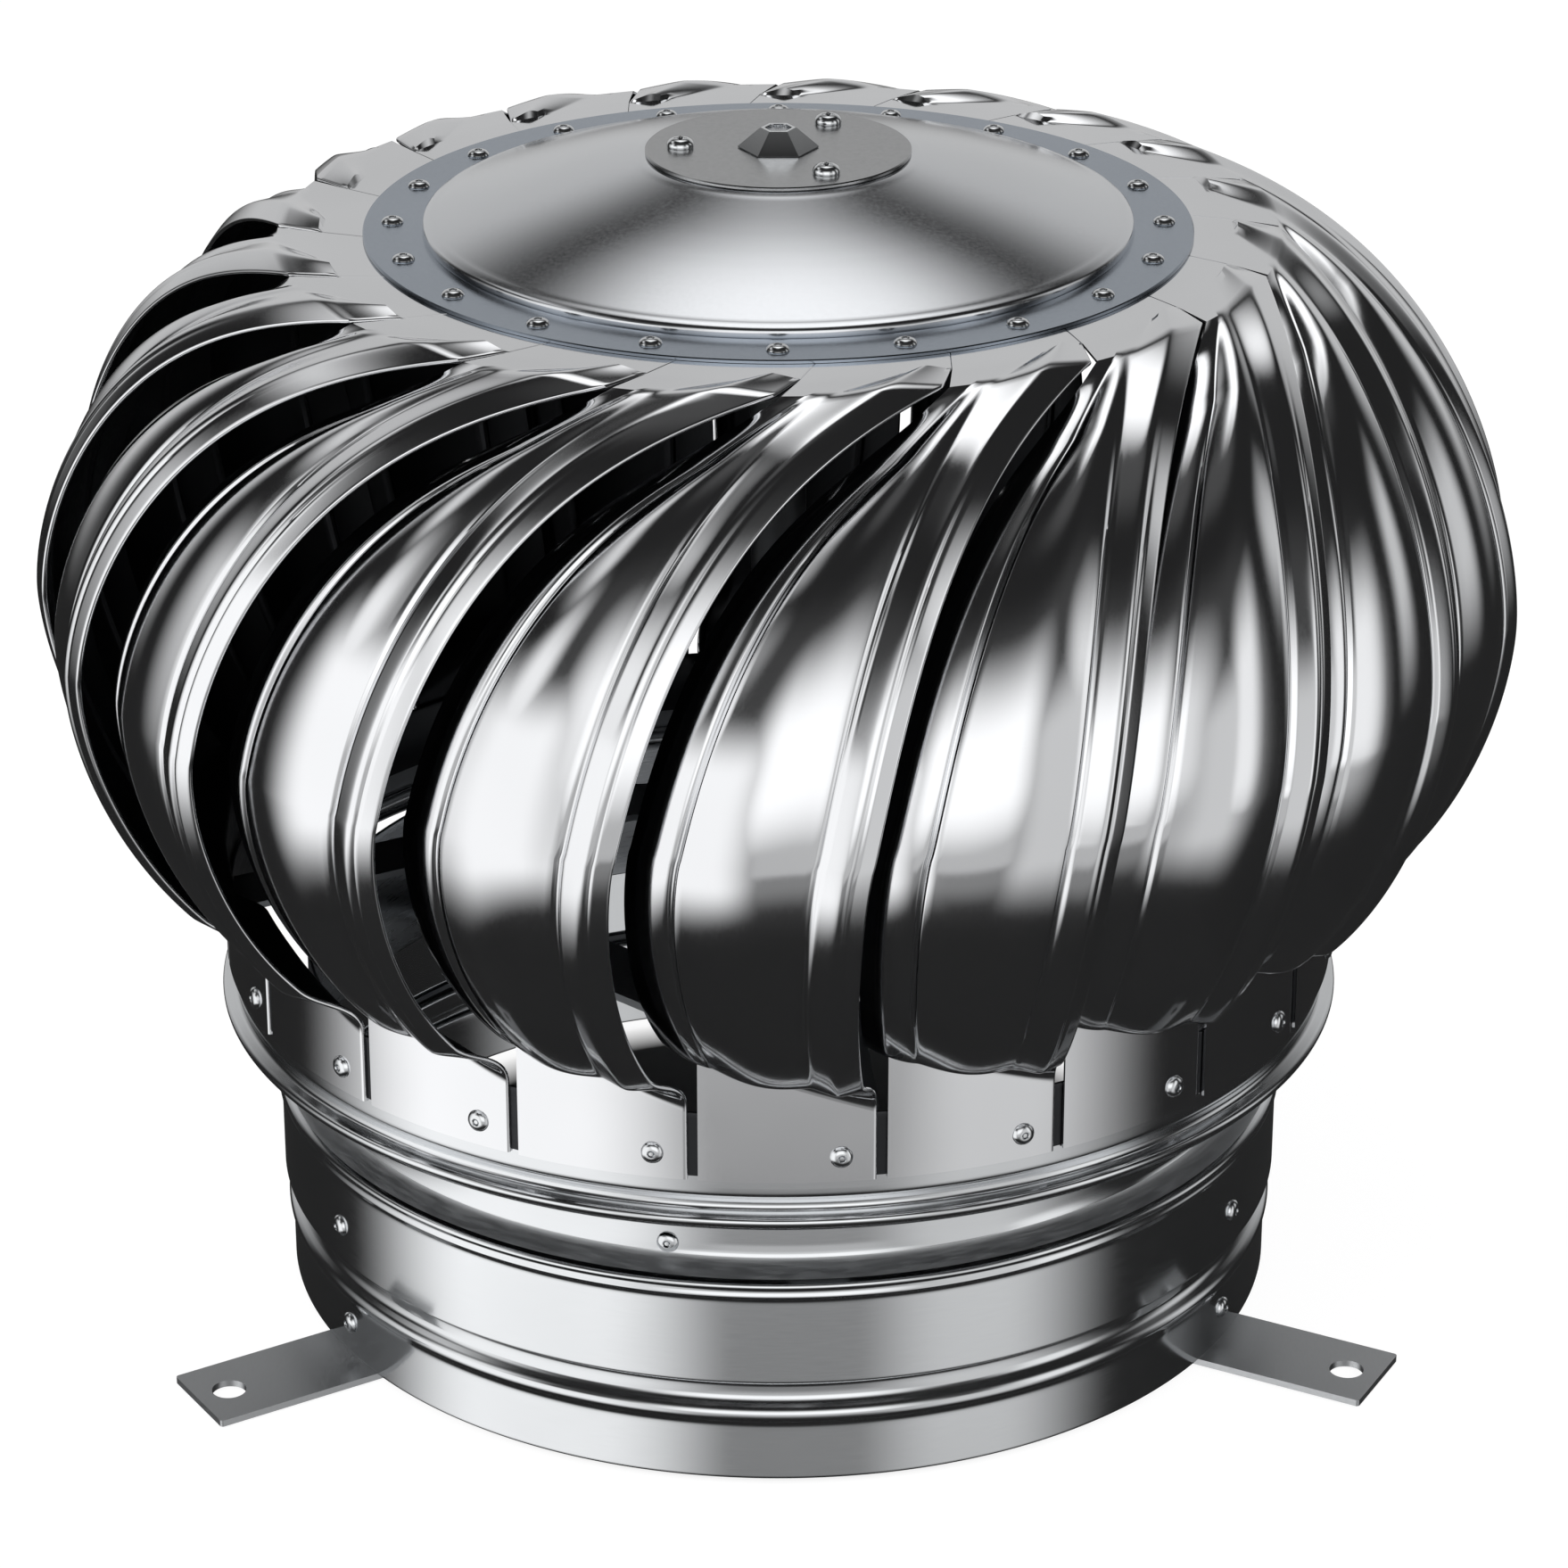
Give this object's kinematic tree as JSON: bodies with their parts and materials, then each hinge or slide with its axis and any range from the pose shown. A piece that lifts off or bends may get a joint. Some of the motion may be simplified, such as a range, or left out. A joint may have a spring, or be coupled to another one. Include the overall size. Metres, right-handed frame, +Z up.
{
  "type": "roof turbine ventilator",
  "caption": "Wind-driven roof ventilator: a globe of twisted, lipped sheet blades turns on a fixed shaft above a round strapped neck.",
  "frame": {"origin": "on the axis of the shaft, level with the underside of the roof straps", "axes": "+Z up along the shaft, -Y the front seen in the picture, +X to its right"},
  "size_m": [0.4268, 0.4268, 0.3516],
  "materials": {
    "mirror_stainless": "mirror polished stainless sheet",
    "polished_stainless": "polished spun stainless sheet",
    "satin_stainless": "satin stainless sheet",
    "zinc_steel": "zinc plated",
    "fastener_steel": "bright",
    "housing_aluminium": "turned",
    "bearing_steel": "ground and polished",
    "cage_brass": "pressed"
  },
  "bodies": {
    "neck": {"throat_collar": "polished_stainless", "neck_band": "polished_stainless", "inner_sleeve": "satin_stainless", "roof_strap_1": "satin_stainless", "roof_strap_2": "satin_stainless", "roof_strap_3": "satin_stainless", "lower_spider": "zinc_steel", "upper_spider": "zinc_steel", "strap_rivets": "fastener_steel", "band_rivets": "fastener_steel", "sleeve_rivets": "fastener_steel", "fixed_shaft": "zinc_steel", "shaft_nuts": "fastener_steel", "bearing_spacer": "zinc_steel", "lower_inner_race": "bearing_steel", "upper_inner_race": "bearing_steel"},
    "head": {"blade_01": "mirror_stainless", "blade_02": "mirror_stainless", "blade_03": "mirror_stainless", "blade_04": "mirror_stainless", "blade_05": "mirror_stainless", "blade_06": "mirror_stainless", "blade_07": "mirror_stainless", "blade_08": "mirror_stainless", "blade_09": "mirror_stainless", "blade_10": "mirror_stainless", "blade_11": "mirror_stainless", "blade_12": "mirror_stainless", "blade_13": "mirror_stainless", "blade_14": "mirror_stainless", "blade_15": "mirror_stainless", "blade_16": "mirror_stainless", "blade_17": "mirror_stainless", "blade_18": "mirror_stainless", "blade_19": "mirror_stainless", "blade_20": "mirror_stainless", "cap_flange": "satin_stainless", "backing_ring": "satin_stainless", "cap_dome": "satin_stainless", "centre_plate": "satin_stainless", "plate_screws": "fastener_steel", "cap_nut": "fastener_steel", "crown_rivets": "fastener_steel", "turning_ring": "polished_stainless", "ring_rivets": "fastener_steel", "turning_spider": "zinc_steel", "spider_screws": "fastener_steel", "lower_bearing_housing": "housing_aluminium", "upper_bearing_housing": "housing_aluminium", "lower_outer_race": "bearing_steel", "upper_outer_race": "bearing_steel"},
    "bearing_cages": {"lower_ball_cage": "cage_brass", "upper_ball_cage": "cage_brass", "bearing_balls": "bearing_steel"}
  },
  "joints": [
    {"name": "head_spin", "type": "hinge", "parent": "neck", "child": "head", "pos_m": [0, 0, 0.145], "axis": [0, 0, 1], "continuous": true},
    {"name": "cage_spin", "type": "hinge", "parent": "neck", "child": "bearing_cages", "pos_m": [0, 0, 0.145], "axis": [0, 0, 1], "continuous": true}
  ],
  "couplings": [
    {"joint": "cage_spin", "follows": "head_spin", "ratio": 0.6364}
  ]
}
